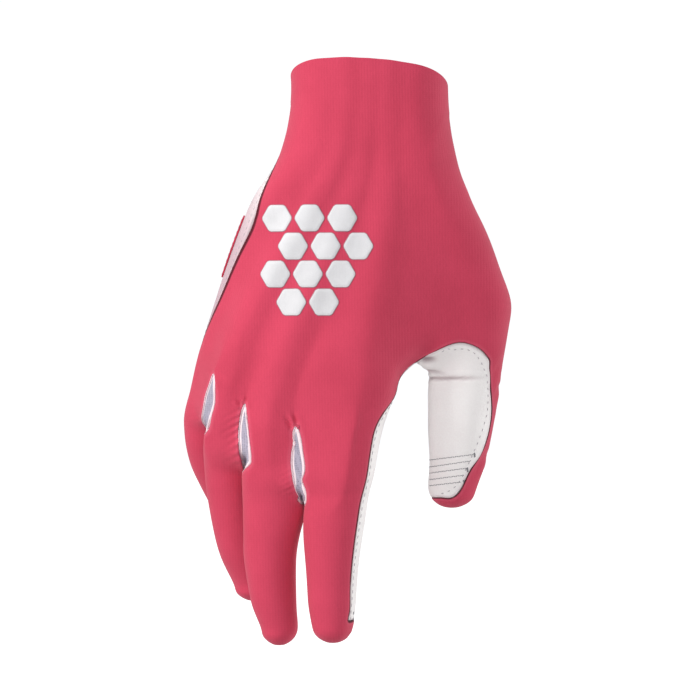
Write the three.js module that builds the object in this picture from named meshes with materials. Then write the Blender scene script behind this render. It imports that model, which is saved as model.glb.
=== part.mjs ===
// A slip-on motocross glove for the right hand, as it stands when it is worn: the fingers hang down and curl a
// little, the thumb hangs beside them, and the sleeve is open at the top.
// Every panel is a thin wall. All panels are cut from one skin: a grid of points that lie on a smooth hand form.
// Millimetres, +Z up. The origin is the middle of the wrist opening, -Y faces the back of the hand and +X the thumb.
import * as THREE from "three";

const KNIT_WALL = 1.4; // stretch knit of the back
const LEATHER_WALL = 1.2; // synthetic leather of the palm and thumb
const MESH_WALL = 0.9; // knitted mesh of the finger gussets
const KNIT_PROUD = 0.3; // the knit is lapped over the leather at every seam
const PATCH_WALL = 1.0;
const PATCH_GAP = 0.35; // between the palm and the patch sewn on it
const RIM_SLOPE = { x: -0.07, y: -0.42 }; // the sleeve's edge is higher over the back of the hand

const DEGREE = Math.PI / 180;

// A table of level sections through one finger: z is the level, x and y its middle, wide and deep half its width
// and half its depth.
const SECTION_COLUMNS = ["z", "x", "y", "wide", "deep"];
const FINGERS = [
  {
    name: "little",
    tipLength: 7,
    sections: [
      [18, -15, 0, 18, 18.6],
      [-9, -14.4, 0, 17.5, 18.6],
      [-33, -20.2, 0.5, 17.7, 18.3],
      [-46, -29, 3, 17.8, 17.8],
      [-60, -35.9, 6, 17.2, 16.6],
      [-86, -47.8, 12.5, 14.7, 15],
      [-113, -59.3, 20.5, 10.9, 12.5],
      [-134, -66.4, 27.5, 9, 10.5],
      [-144, -69.8, 31.3, 8.6, 9.8],
      [-160, -68, 38.2, 8.4, 9],
      [-174, -62, 45.5, 8.2, 9],
      [-184, -58.3, 49.8, 7, 8],
    ],
  },
  {
    name: "ring",
    tipLength: 7.5,
    sections: [
      [18, -8, 0, 18, 20.6],
      [-9, -8, 0, 17.7, 19.8],
      [-33, -12, -0.5, 17.5, 18.8],
      [-50, -19.5, -0.5, 17, 17.6],
      [-83, -37, 2, 15, 15.8],
      [-117, -52.5, 7, 11.5, 13.4],
      [-144, -59.5, 12.5, 9.2, 11.2],
      [-163, -58.8, 20, 10.4, 10],
      [-181, -56.8, 26.5, 10.4, 10],
      [-200, -53.4, 32.5, 9.5, 9.5],
      [-212, -49, 36.5, 8.4, 8],
    ],
  },
  {
    name: "middle",
    tipLength: 8,
    sections: [
      [18, 0, 0, 18, 21],
      [-9, 0, 0, 17.7, 20],
      [-33, -3, -0.5, 17.7, 18.8],
      [-50, -7, -1, 17, 17.6],
      [-83, -20.5, -1, 15, 16],
      [-117, -34, 0.5, 12.4, 13.8],
      [-144, -40, 2.5, 10.5, 11.8],
      [-160, -40.1, 5, 11.9, 11],
      [-171, -39.7, 6.9, 12.9, 10.8],
      [-180, -39.7, 8.5, 13, 10.6],
      [-191, -40.9, 10.4, 11.6, 10.4],
      [-200, -41.5, 12, 10.9, 10.2],
      [-221, -39.7, 16, 9.2, 9.2],
      [-229.5, -37.8, 17.5, 7.8, 8],
    ],
  },
  {
    name: "index",
    tipLength: 8,
    sections: [
      [18, 7.5, 0, 18, 20.8],
      [-9, 7.5, 0, 17.7, 19.9],
      [-33, 8, -0.5, 17.7, 18.8],
      [-50, 6.5, -1, 17.5, 17.6],
      [-83, 1, -1.5, 17.5, 16],
      [-117, -8.5, -2.5, 20.5, 14],
      [-127, -10, -2.5, 21, 13.5],
      [-144, -11.1, -2, 16.3, 12.5],
      [-167, -13.2, -1.2, 13.9, 11.5],
      [-180, -13.9, -0.5, 13.2, 11],
      [-191, -14.7, 1, 12.4, 10.7],
      [-204, -15.2, 3.5, 11, 10.3],
      [-221, -15.2, 7.5, 9.9, 9.4],
      [-227.8, -15, 9, 8.8, 8.6],
    ],
  },
  {
    name: "thumb",
    tipLength: 8.5,
    sections: [
      [18, 15, 0, 18, 19.2],
      [-9, 14.7, 0, 17.9, 19],
      [-33, 17, 0, 19.4, 18.8],
      [-53, 23.3, 3, 21, 18],
      [-62, 27.4, 5.4, 21.6, 17.6],
      [-80, 33.8, 10, 22, 17.2],
      [-93, 38.4, 14, 21.8, 16.4],
      [-107, 39.2, 17.5, 18.4, 15],
      [-120, 40.5, 20, 15.9, 13.8],
      [-147, 39, 24.5, 13.7, 12.4],
      [-160, 37.8, 27, 11.8, 11.2],
      [-171, 35.6, 29, 10.2, 9.6],
    ],
  },
];
const THUMB = 4;

// The web between finger n and finger n + 1: z is where it ends and round how far it bulges below that. x and
// palmX are where it is seen on the back and on the palm. leafTop and leafX are the top point of the mesh gusset on
// the back of the hand, leafWide is half its width on the palm, and leaf half its width down the back.
const WEBS = [
  {
    z: -137.5, x: -67.3, palmX: -61, round: 8, leafTop: -123, leafX: -65.2, leafWide: 3.1,
    leaf: [[-122, 0.9], [-127, 1.2], [-132.5, 2.4], [-138, 2.5], [-143, 1.9]],
  },
  {
    z: -152, x: -51.9, palmX: -48, round: 8, leafTop: -136, leafX: -51.8, leafWide: 2.6,
    leaf: [[-135, 1], [-140.5, 1.5], [-146, 2.2], [-151.5, 2.5], [-157, 2.3]],
  },
  {
    z: -165.5, x: -29.3, palmX: -27, round: 8, leafTop: -144, leafX: -30.3, leafWide: 2.9,
    leaf: [[-143, 1.2], [-150, 2], [-157, 2.6], [-164, 3], [-171, 1.9]],
  },
  { z: -111, x: 20.5, palmX: 20.5, round: 7 },
];
const LEAF_OPENING = { over: 15, by: 3.8 }; // above a gusset its columns open out again
const WEB_DIP = 0.02; // how much thinner the hand is between two fingers

// The form's blends: between webs, between fingers, and of the one with the other. They are a third as wide above
// the knuckles, where the back of the hand is flat.
const BLEND = { webs: 4, fingers: 2.5, both: 5 };
const BLEND_STARTS = -85;
const BLEND_FULL = -120;

// Angles are measured round a section from the back of the hand (0) over the thumb side (90) to the palm (180).
const ULNAR_SEAM = [
  { z: 18, angle: 112 },
  { z: -27, angle: 98 },
  { z: -37, angle: 74 },
  { z: -46, angle: 57 },
  { z: -62, angle: 52 },
  { z: -75, angle: 53 },
  { z: -92, angle: 60 },
  { z: -103, angle: 74 },
  { z: -116, angle: 95 },
  { z: -150, angle: 108 },
];
const INDEX_SEAM = [
  { z: -119, angle: 92 },
  { z: -131, angle: 90 },
  { z: -142, angle: 62 },
  { z: -167, angle: 58 },
  { z: -180, angle: 54 },
  { z: -204, angle: 50 },
  { z: -230, angle: 46 },
];
const THUMB_SEAM = [
  { z: -115, angle: 43 },
  { z: -122, angle: 45 },
  { z: -130, angle: 53 },
  { z: -138, angle: 64 },
  { z: -147, angle: 65 },
  { z: -155, angle: 55 },
  { z: -163, angle: 33 },
  { z: -175, angle: 22 },
];

// The lines over the thumb, on its back and on its palm. The first three share out the way from its web to the
// offset of the third. The offset is from its middle, in half widths.
const THUMB_SHARES = [0.35, 0.69, 1];
const THUMB_LINES = {
  "-1": [
    { offset: 0.55, angle: 0 },
    { offset: 0.3, angle: 60 },
    { offset: 0, angle: 100 },
  ],
  1: [
    { offset: 0.2, angle: 180 },
    { offset: 0.45, angle: 180 },
    { offset: 0, angle: 140 },
  ],
};

// The grid: how many columns of the back belong to each finger, and how many rows each stretch has.
const COLUMNS = [4, 5, 5, 5, 5];
const ROWS = { wristToThumb: 17, thumbToLeaf: 3, leafToWeb: 4, heel: 5 };
const FINGER_ROWS = [7, 9, 10, 9, 8];
const TIP_TILTS = [27, 50, 70]; // the rounds of the fingertip, in degrees below level
const PATCH = { firstRow: 8, lastRow: 12, columns: 2 };

const clamp = (value, low, high) => Math.min(high, Math.max(low, value));
const mix = (a, b, t) => a + (b - a) * t;
const smooth = (t) => t * t * (3 - 2 * t);

// Reads a table of named columns at any level with a smooth curve through its rows, which go down from the top.
function curveOf(rows, column) {
  const slope = (i) => {
    const a = rows[Math.max(i - 1, 0)];
    const b = rows[Math.min(i + 1, rows.length - 1)];
    return (b[column] - a[column]) / (b.z - a.z);
  };
  return (level) => {
    const z = clamp(level, rows[rows.length - 1].z, rows[0].z);
    const i = Math.max(rows.findIndex((row) => row.z <= z) - 1, 0);
    const span = rows[i + 1].z - rows[i].z;
    const t = (z - rows[i].z) / span;
    const bend = t * (1 - t) * span;
    return (
      mix(rows[i][column], rows[i + 1][column], smooth(t)) +
      bend * ((1 - t) * slope(i) - t * slope(i + 1))
    );
  };
}

function fingerOf({ name, tipLength, sections }) {
  const rows = sections.map((values) =>
    Object.fromEntries(values.map((value, i) => [SECTION_COLUMNS[i], value])),
  );
  const curves = SECTION_COLUMNS.slice(1).map((column) => curveOf(rows, column));
  const at = (z) => {
    const [x, y, wide, deep] = curves.map((curve) => curve(z));
    return { x, y, wide, deep };
  };
  return { name, tipLength, tipZ: rows[rows.length - 1].z, at };
}

const fingers = FINGERS.map(fingerOf);
const ulnarSeam = curveOf(ULNAR_SEAM, "angle");
const indexSeam = curveOf(INDEX_SEAM, "angle");
const thumbSeam = curveOf(THUMB_SEAM, "angle");

// The hand form is where this measure is zero: below zero inside, above zero outside.
function ellipseMeasure(dx, dy, dz, wide, deep) {
  return (Math.hypot(dx / wide, dy / deep, dz) - 1) * Math.min(wide, deep);
}

function fingerMeasure(finger, p) {
  const s = finger.at(p.z);
  const past = Math.max(finger.tipZ - p.z, 0) / finger.tipLength;
  return ellipseMeasure(p.x - s.x, p.y - s.y, past, s.wide, s.deep);
}

function webMeasure(web, left, right, p) {
  const z = Math.max(p.z, web.z);
  const a = left.at(z);
  const b = right.at(z);
  const run = { x: b.x - a.x, y: b.y - a.y };
  const along = (p.x - a.x) * run.x + (p.y - a.y) * run.y;
  const t = clamp(along / (run.x * run.x + run.y * run.y), 0, 1);
  const dip = 1 - WEB_DIP * 4 * t * (1 - t) * smooth(clamp((-z - 70) / 70, 0, 1));
  const past = Math.max(web.z - p.z, 0) / web.round;
  return ellipseMeasure(
    p.x - mix(a.x, b.x, t),
    p.y - mix(a.y, b.y, t),
    past,
    mix(a.wide, b.wide, t),
    mix(a.deep, b.deep, t) * dip,
  );
}

function blend(a, b, reach) {
  const h = Math.max(reach - Math.abs(a - b), 0) / reach;
  return Math.min(a, b) - (h * h * reach) / 4;
}

// The hand, or one stretch of it: the fingers from first to last and the webs that join them to each other.
function formMeasure(p, webs, tubes) {
  const down = smooth(clamp((p.z - BLEND_STARTS) / (BLEND_FULL - BLEND_STARTS), 0, 1));
  const reach = mix(1 / 3, 1, down);
  return blend(
    webs
      .map((web) => webMeasure(WEBS[web], fingers[web], fingers[web + 1], p))
      .reduce((a, b) => blend(a, b, BLEND.webs * reach)),
    tubes
      .map((tube) => fingerMeasure(fingers[tube], p))
      .reduce((a, b) => blend(a, b, BLEND.fingers * reach)),
    BLEND.both * reach,
  );
}

const handMeasure = (p) => formMeasure(p, [0, 1, 2, 3], [0, 1, 2, 3, 4]);

// A finger alone with its own webs, for the rays that must not run on into its neighbour.
const OWN_WEBS = [[0], [0, 1], [1, 2], [2, 3], [3]];
const ownMeasure = (finger) => (p) => formMeasure(p, OWN_WEBS[finger], [finger]);

// The point where a ray from inside the form leaves it.
const RAY_STEP = 1;
const LONGEST_RAY = 90;
function cast(base, direction, measure = handMeasure) {
  const at = (s) => base.clone().addScaledVector(direction, s);
  let far = 0;
  while (far < LONGEST_RAY && measure(at(far)) < 0) far += RAY_STEP;
  let near = Math.max(far - RAY_STEP, 0);
  for (let i = 0; i < 20; i += 1) {
    const middle = (near + far) / 2;
    if (measure(at(middle)) < 0) near = middle;
    else far = middle;
  }
  return at(near);
}

const around = (angle, down = 0) =>
  new THREE.Vector3(
    Math.sin(angle * DEGREE) * Math.cos(down * DEGREE),
    -Math.cos(angle * DEGREE) * Math.cos(down * DEGREE),
    -Math.sin(down * DEGREE),
  );

// The depth of the form's middle at a place in the front view.
function middleDepth(x, z, count) {
  const mids = fingers.slice(0, count).map((finger) => finger.at(z));
  if (x <= mids[0].x) return mids[0].y;
  for (let i = 1; i < count; i += 1)
    if (x <= mids[i].x)
      return mix(mids[i - 1].y, mids[i].y, (x - mids[i - 1].x) / (mids[i].x - mids[i - 1].x));
  return mids[count - 1].y;
}

// The skin's points, found by name so that neighbours share them, and its faces with the panel that each is in.
const points = [];
const faces = [];

function addPoint(position) {
  points.push(position);
  return points.length - 1;
}

function addFace(panel, corners) {
  faces.push({ panel, corners });
}

// Where the grid's lines run between the wrist and the webs. A line has a place in the front view and an angle.
const LINES = COLUMNS.reduce((a, b) => a + b, 0);
const EDGES = COLUMNS.reduce((edges, count) => [...edges, edges[edges.length - 1] + count], [0]);
const WEB_LINES = EDGES.slice(1, -1);
const ROW_THUMB = ROWS.wristToThumb;
const ROW_LEAF = ROW_THUMB + ROWS.thumbToLeaf;
const ROW_WEB = ROW_LEAF + ROWS.leafToWeb;
const HAND_LINES = WEB_LINES[3];

const leafCurves = WEBS.slice(0, 3).map((web) =>
  curveOf(web.leaf.map(([z, wide]) => ({ z, wide })), "wide"),
);

// Half the width of the mesh gusset at a level, and past its top the way the columns open out again. It never takes
// more than its share of the finger.
function leafWidth(i, z, side, most) {
  const web = WEBS[i];
  const down = (web.leafTop - z) / (web.leafTop - web.z);
  const palm = web.leafWide * (down < 0 ? 0.7 : Math.sin(Math.PI * clamp(0.25 + 0.5 * down, 0, 0.8)));
  const open = LEAF_OPENING.by * smooth(clamp((z - web.leafTop) / LEAF_OPENING.over, 0, 1));
  return Math.min((side < 0 ? leafCurves[i](z) : palm) + open, most);
}

// The x of the line between finger n and finger n + 1, on the back (side -1) or the palm (side 1). It follows the
// fingers, and is drawn over to the gusset's top and then to the web on its way down.
function valleyX(i, z, side) {
  const web = WEBS[i];
  const between = (level) => {
    const a = fingers[i].at(level);
    const b = fingers[i + 1].at(level);
    return (a.x * b.wide + b.x * a.wide) / (a.wide + b.wide);
  };
  const end = (side < 0 ? web.x : web.palmX) - between(web.z);
  if (i === THUMB - 1) return between(z) + end * smooth(clamp(z / web.z, 0, 1));
  const top = side < 0 ? web.leafX - between(web.leafTop) : end;
  const toTop = smooth(clamp(z / web.leafTop, 0, 1));
  const toWeb = clamp((web.leafTop - z) / (web.leafTop - web.z), 0, 1);
  return between(z) + mix(top * toTop, end, toWeb);
}

// The place and angle of a line on the hand, for the back (side -1) or the palm (side 1).
function handLine(line, z, side, last) {
  const finger = Math.max(EDGES.findIndex((edge) => edge >= line) - 1, 0);
  const column = line - EDGES[finger];
  const share = column / COLUMNS[finger];
  const s = fingers[finger].at(z);
  const flat = side < 0 ? 0 : 180;
  if (finger === 0 && column < 3) {
    const third = handLine(3, z, side, last).x;
    const lean = Math.asin(clamp((third - s.x) / s.wide, -0.8, 0.8)) / DEGREE;
    const [from, to] = side < 0 ? [-ulnarSeam(z), lean] : [-ulnarSeam(z) - 66, -180 - lean];
    return { x: s.x, angle: mix(from, to, column / 3) };
  }
  if (finger === THUMB) {
    const { offset, angle } = THUMB_LINES[side][Math.max(column - 3, 0)];
    const x = s.x + offset * s.wide;
    return { x: column > 3 ? x : mix(valleyX(THUMB - 1, z, side), x, THUMB_SHARES[column - 1]), angle };
  }
  if (finger === last && share > 0.3) {
    const seam = indexSeam(z);
    const palmEdge = mix(105, Math.max(seam + 62, 125), smooth(clamp((-z - 118) / 26, 0, 1)));
    return { x: s.x, angle: mix(flat, side < 0 ? seam : palmEdge, (share - 0.3) / 0.7) };
  }
  const left = finger === 0 ? s.x : valleyX(finger - 1, z, side);
  const right = valleyX(finger, z, side);
  let x = mix(left, right, share);
  const near = (web) => smooth(clamp(z / WEBS[web].leafTop, 0, 1));
  const most = finger === 0 ? 9 : 0.3 * (right - left);
  if (finger < 3 && line === EDGES[finger + 1] - 1)
    x = mix(x, right - leafWidth(finger, z, side, most), near(finger));
  if (finger > 0 && line === EDGES[finger] + 1)
    x = mix(x, left + leafWidth(finger - 1, z, side, most), near(finger - 1));
  return { x, angle: flat };
}

const WRIST_REACH = 13; // half the flat stretch of the wrist's oval

function wristLine(line, side) {
  const share = (2 * line) / LINES - 1;
  const seam = side < 0 ? 100 : 140;
  const flat = side < 0 ? 0 : 180;
  const angle = side < 0 ? share * seam : share > 0 ? mix(180, seam, share) : mix(-180, -seam, -share);
  return { x: WRIST_REACH * share, angle: Math.abs(share) < 1e-9 ? flat : angle };
}

// The level at which each line ends at the web row, and at the thumb's web.
const THUMB_ARC = [-117, -112, -109.5, -115, -119, -121];
const thumbRowZ = (line) =>
  line <= HAND_LINES ? mix(-116, -117, line / HAND_LINES) : THUMB_ARC[line - HAND_LINES];

function spread(line, values) {
  const xs = [0, ...WEB_LINES.slice(0, 3), HAND_LINES];
  const i = clamp(xs.findIndex((edge) => edge >= line) - 1, 0, xs.length - 2);
  return mix(values[i], values[i + 1], (line - xs[i]) / (xs[i + 1] - xs[i]));
}
const leafRowZ = (line) => spread(line, [-122, -122, -135, -143, -138]);
const webRowZ = (line) => spread(line, [-141, -143, -157, -171, -165]);

function lineZ(line, row, rimZ, side) {
  const arc = side < 0 ? thumbRowZ(line) : mix(-116, -113, line / LINES);
  if (row <= ROW_THUMB) return mix(rimZ, arc, row / ROW_THUMB);
  if (row <= ROW_LEAF) return mix(arc, leafRowZ(line), (row - ROW_THUMB) / ROWS.thumbToLeaf);
  return mix(leafRowZ(line), webRowZ(line), (row - ROW_LEAF) / ROWS.leafToWeb);
}

function lineBase(line, z, side, row) {
  const last = row > ROW_THUMB ? THUMB - 1 : THUMB;
  const hand = handLine(line, z, side, last);
  const wrist = wristLine(line, side);
  const t = smooth(clamp((-z - 4) / 34, 0, 1));
  let bend = hand.angle - wrist.angle;
  if (bend > 180) bend -= 360;
  if (bend < -180) bend += 360;
  const x = mix(wrist.x, hand.x, t);
  return {
    base: new THREE.Vector3(x, mix(fingers[2].at(z).y, middleDepth(x, z, last + 1), t), z),
    angle: wrist.angle + bend * t,
  };
}

// The level of the sleeve's edge on a line, found by walking to where the edge's plane meets the form.
function rimLevel(line, side) {
  let z = 0;
  for (let i = 0; i < 6; i += 1) {
    const { base, angle } = lineBase(line, z, side, 0);
    const p = cast(base, around(angle));
    z = RIM_SLOPE.x * p.x + RIM_SLOPE.y * p.y;
  }
  return z;
}

const grid = { "-1": [], 1: [], left: [], right: [] };
for (const side of [-1, 1]) {
  const rims = Array.from({ length: LINES + 1 }, (_, line) => rimLevel(line, side));
  for (let row = 0; row <= ROW_WEB; row += 1) {
    const lines = row <= ROW_THUMB ? LINES : HAND_LINES;
    grid[side][row] = [];
    for (let line = 0; line <= lines; line += 1) {
      const z = lineZ(line, row, rims[line], side);
      const { base, angle } = lineBase(line, z, side, row);
      grid[side][row][line] = addPoint(cast(base, around(angle)));
    }
  }
}

// The middle line of a side strip lies halfway round between the edge of the back and that of the palm.
function sidePoint(a, b, z, finger) {
  const s = fingers[finger].at(z);
  const base = new THREE.Vector3(s.x, s.y, z);
  const outward = points[a].clone().add(points[b]).multiplyScalar(0.5).sub(base).setZ(0);
  return addPoint(cast(base, outward.normalize()));
}

for (let row = 0; row <= ROW_WEB; row += 1) {
  const back = grid[-1][row];
  const palm = grid[1][row];
  const z = (points[back[0]].z + points[palm[0]].z) / 2;
  grid.left[row] = sidePoint(back[0], palm[0], z, 0);
  const end = back.length - 1;
  const zRight = (points[back[end]].z + points[palm[end]].z) / 2;
  grid.right[row] = sidePoint(back[end], palm[end], zRight, row <= ROW_THUMB ? THUMB : THUMB - 1);
}

// The lowest point of each web.
const webPoints = WEBS.map((web, i) => {
  const [a, b] = [fingers[i].at(web.z), fingers[i + 1].at(web.z)];
  const x = (web.x + web.palmX) / 2;
  const y = mix(a.y, b.y, (x - a.x) / (b.x - a.x));
  return addPoint(cast(new THREE.Vector3(x, y, web.z), around(0, 90), (p) => webMeasure(web, fingers[i], fingers[i + 1], p)));
});

// The faces of the hand, row by row. The strip past the thumb's web starts at the web's own middle point.
function handPanel(side, row, column) {
  if (side < 0) return "back_panel";
  return row < ROWS.heel ? "wrist_panel" : "palm_panel";
}

const leafColumns = WEB_LINES.slice(0, 3).flatMap((line) => [line - 1, line]);
function leafOf(column) {
  return `gusset_${["little_ring", "ring_middle", "middle_index"][Math.floor(leafColumns.indexOf(column) / 2)]}`;
}

// A face of the back or palm, with its corners in order: top left, top right, bottom right, bottom left.
function handFace(side, row, column, corners) {
  const first = side < 0 ? ROW_LEAF : ROW_WEB - 2;
  const turn = (list) => (side < 0 ? [...list].reverse() : list);
  const panel = handPanel(side, row, column);
  if (!leafColumns.includes(column) || row < first) {
    addFace(panel, turn(corners));
    return;
  }
  const leaf = leafOf(column);
  if (row > first) {
    addFace(leaf, turn(corners));
    return;
  }
  const [topLeft, topRight, lowRight, lowLeft] = corners;
  if (WEB_LINES.includes(column + 1)) {
    addFace(panel, turn([topLeft, topRight, lowLeft]));
    addFace(leaf, turn([topRight, lowRight, lowLeft]));
  } else {
    addFace(panel, turn([topLeft, topRight, lowRight]));
    addFace(leaf, turn([topLeft, lowRight, lowLeft]));
  }
}

for (const side of [-1, 1])
  for (let row = 0; row < ROW_WEB; row += 1)
    for (let column = 0; column < (row < ROW_THUMB ? LINES : HAND_LINES); column += 1) {
      const top = grid[side][row];
      const low = grid[side][row + 1];
      handFace(side, row, column, [top[column], top[column + 1], low[column + 1], low[column]]);
    }

function strip(panel, edges, row) {
  for (let i = 0; i < edges.length - 1; i += 1)
    addFace(panel, [edges[i][row + 1], edges[i + 1][row + 1], edges[i + 1][row], edges[i][row]]);
}

const rowsOf = (pick) => Array.from({ length: ROW_WEB + 1 }, (_, row) => pick(row));
const leftEdges = [
  rowsOf((row) => grid[1][row][0]),
  grid.left,
  rowsOf((row) => grid[-1][row][0]),
];
const lastOf = (list) => list[list.length - 1];
const rightUpper = [
  rowsOf((row) => lastOf(grid[-1][row])),
  grid.right,
  rowsOf((row) => lastOf(grid[1][row])),
];
// Below the thumb's web the right strip runs down the index finger's side.
const rightLower = [
  rowsOf((row) => grid[-1][row][HAND_LINES]),
  rowsOf((row) => (row === ROW_THUMB ? webPoints[3] : grid.right[row])),
  rowsOf((row) => grid[1][row][HAND_LINES]),
];
for (let row = 0; row < ROW_WEB; row += 1) {
  strip(row < ROWS.heel ? "wrist_panel" : "palm_panel", leftEdges, row);
  if (row < ROW_THUMB) strip("back_panel", rightUpper, row);
  else strip("palm_panel", rightLower, row);
}

// The angles of a finger's lines once it is clear of its webs: across the back from left to right, round the
// right side, across the palm from right to left, and the left side.
function fingerAngles(finger, z) {
  const count = COLUMNS[finger];
  const ramp = (from, to) => Array.from({ length: count + 1 }, (_, i) => mix(from, to, i / count));
  if (finger === THUMB) {
    const seam = thumbSeam(z);
    return [-55, mix(-55, seam, 0.35), mix(-55, seam, 0.7), seam, seam + 32, seam + 64, 154, ...ramp(184, 246), -85];
  }
  if (finger === 0) return [...ramp(-ulnarSeam(z), 60), 88, ...ramp(115, 222), -120];
  if (finger === THUMB - 1) return [...ramp(-60, indexSeam(z)), 84, ...ramp(115, 245), -88];
  return [...ramp(-60, 60), 88, ...ramp(115, 245), -88];
}

// The ring of points where a finger leaves the hand, in the same order as its angles.
function firstRing(finger) {
  const row = finger === THUMB ? ROW_THUMB : ROW_WEB;
  const [from, to] = [EDGES[finger], EDGES[finger + 1]];
  const back = grid[-1][row].slice(from, to + 1);
  const palm = grid[1][row].slice(from, to + 1).reverse();
  const left = finger === 0 ? grid.left[row] : webPoints[finger - 1];
  const right = finger === THUMB || finger === THUMB - 1 ? grid.right[row] : webPoints[finger];
  return [...back, right, ...palm, left];
}

const wrap = (angle) => ((((angle + 180) % 360) + 360) % 360) - 180;

function fingerRings(finger) {
  const form = fingers[finger];
  const measure = ownMeasure(finger);
  const rings = [firstRing(finger)];
  const rows = FINGER_ROWS[finger];
  const starts = rings[0].map((index) => points[index]);
  for (let k = 1; k <= rows; k += 1) {
    const down = (k / rows) ** 1.15;
    rings.push(
      starts.map((start, i) => {
        const z = mix(start.z, form.tipZ, down);
        const s = form.at(z);
        const first = form.at(start.z);
        const from = Math.atan2(start.x - first.x, first.y - start.y) / DEGREE;
        const target = fingerAngles(finger, z)[i];
        const angle = from + wrap(target - from) * smooth(clamp(k / 3, 0, 1));
        return addPoint(cast(new THREE.Vector3(s.x, s.y, z), around(angle), measure));
      }),
    );
  }
  const end = form.at(form.tipZ);
  const centre = new THREE.Vector3(end.x, end.y, form.tipZ);
  for (const tilt of TIP_TILTS)
    rings.push(
      fingerAngles(finger, form.tipZ - 5).map((angle) => addPoint(cast(centre, around(angle, tilt), measure))),
    );
  return { rings, centre };
}

// The panel of each face round a finger. The knit covers the back and the sides, and the leather the palm.
function fingerPanel(finger, i, row, rows) {
  const count = COLUMNS[finger];
  if (row > rows) return "back_panel";
  if (finger === THUMB) return i < 3 || i >= count + 2 ? "thumb_panel" : "back_panel";
  const rightSide = i >= count && i < count + 2;
  const palmSide = i >= count + 2 && i < 2 * count + 2;
  const leftSide = i >= 2 * count + 2;
  if (palmSide || (rightSide && finger === THUMB - 1) || (leftSide && finger === 0)) return "palm_panel";
  return "back_panel";
}

// The mesh gussets reach one row down the sides of the fingers that they join.
function gussetAt(finger, i) {
  const count = COLUMNS[finger];
  if (finger === THUMB) return null;
  const right = i >= count - 1 && i <= count + 2 && finger < THUMB - 1;
  const left = (i >= 2 * count + 1 || i === 0) && finger > 0;
  if (!right && !left) return null;
  const name = leafOf(right ? WEB_LINES[finger] : WEB_LINES[finger - 1]);
  const corner = { [count - 1]: "first", [count + 2]: "last", [2 * count + 1]: "first", 0: "last" }[i];
  return { name, corner };
}

function buildFinger(finger) {
  const { rings, centre } = fingerRings(finger);
  const sides = rings[0].length;
  const rows = FINGER_ROWS[finger];
  for (let row = 0; row < rings.length - 1; row += 1)
    for (let i = 0; i < sides; i += 1) {
      const next = (i + 1) % sides;
      const [a, b, c, d] = [rings[row][i], rings[row][next], rings[row + 1][next], rings[row + 1][i]];
      const panel = fingerPanel(finger, i, row, rows);
      const gusset = row === 0 ? gussetAt(finger, i) : null;
      if (finger === THUMB && row === rows && i === 2) {
        // The lower corner of the thumb's leather is cut round.
        addFace("thumb_panel", [d, b, a]);
        addFace("back_panel", [d, c, b]);
      } else if (!gusset) addFace(panel, [d, c, b, a]);
      else if (gusset.corner === "first") {
        addFace(gusset.name, [c, b, a]);
        addFace(panel, [d, c, a]);
      } else if (gusset.corner === "last") {
        addFace(gusset.name, [d, b, a]);
        addFace(panel, [d, c, b]);
      } else addFace(gusset.name, [d, c, b, a]);
    }
  closeTip(finger, lastOf(rings), centre);
}

// The tip is closed by two rows of faces on each side of a line over the end.
function closeTip(finger, ring, centre) {
  const count = COLUMNS[finger];
  const right = ring[count + 1];
  const left = ring[2 * count + 3];
  const lean = points[right].clone().sub(points[left]).normalize();
  const over = Array.from({ length: count - 1 }, (_, i) => {
    const angle = mix(-20, 20, (i + 1) / count) * DEGREE;
    const direction = new THREE.Vector3(0, 0, -Math.cos(angle)).addScaledVector(lean, Math.sin(angle));
    return addPoint(cast(centre, direction.normalize(), ownMeasure(finger)));
  });
  const middle = [left, ...over, right];
  const back = ring.slice(0, count + 1);
  const palm = ring.slice(count + 2, 2 * count + 3).reverse();
  for (let i = 0; i < count; i += 1) {
    addFace("back_panel", [middle[i], middle[i + 1], back[i + 1], back[i]]);
    addFace("back_panel", [palm[i], palm[i + 1], middle[i + 1], middle[i]]);
  }
}

COLUMNS.forEach((_, finger) => buildFinger(finger));

// Outward directions of the skin's points.
const normals = points.map(() => new THREE.Vector3());
for (const { corners } of faces) {
  const [a, b, c] = corners.map((i) => points[i]);
  const d = points[lastOf(corners)];
  const across = new THREE.Vector3().subVectors(c, a);
  const other = new THREE.Vector3().subVectors(d, b);
  const area = corners.length === 4 ? across.cross(other) : new THREE.Vector3().subVectors(b, a).cross(across);
  for (const i of corners) normals[i].add(area);
}
for (const normal of normals) normal.normalize();

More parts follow.
